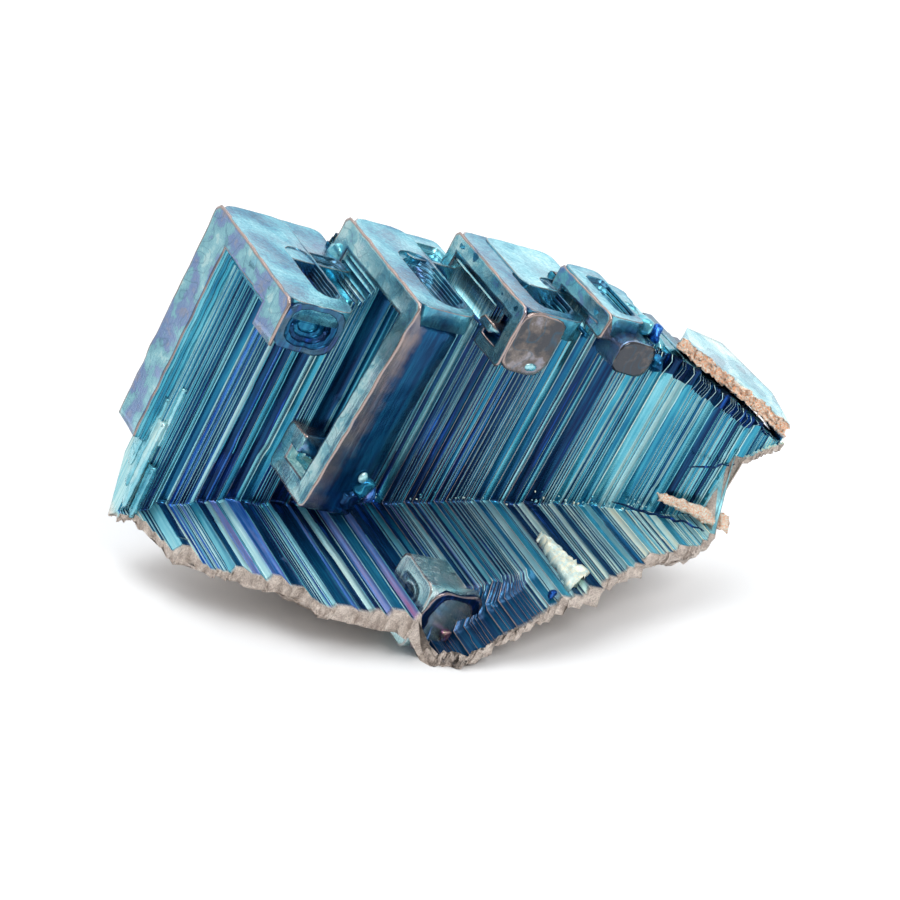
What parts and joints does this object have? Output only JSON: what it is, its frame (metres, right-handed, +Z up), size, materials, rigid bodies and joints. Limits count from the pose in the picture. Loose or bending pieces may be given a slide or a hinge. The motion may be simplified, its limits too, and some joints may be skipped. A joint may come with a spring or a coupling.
{
  "type": "bismuth hopper crystal",
  "caption": "Iridescent stepped hopper crystal of bismuth with nested right-angled terraces and a flat-cut broken base.",
  "frame": {"origin": "on the cut flat under the crystal, below the middle of the stepped field", "axes": "+X along the length of the stepped field towards its torn end, +Y away from the open side of the hopper, +Z up from the cut flat"},
  "size_m": [0.0682, 0.0338, 0.0383],
  "materials": {
    "oxide": "oxide-filmed bismuth metal, bright blue and teal with pinkish worn edges"
  },
  "bodies": {
    "root": {"bismuth_crystal": "oxide"}
  },
  "joints": []
}
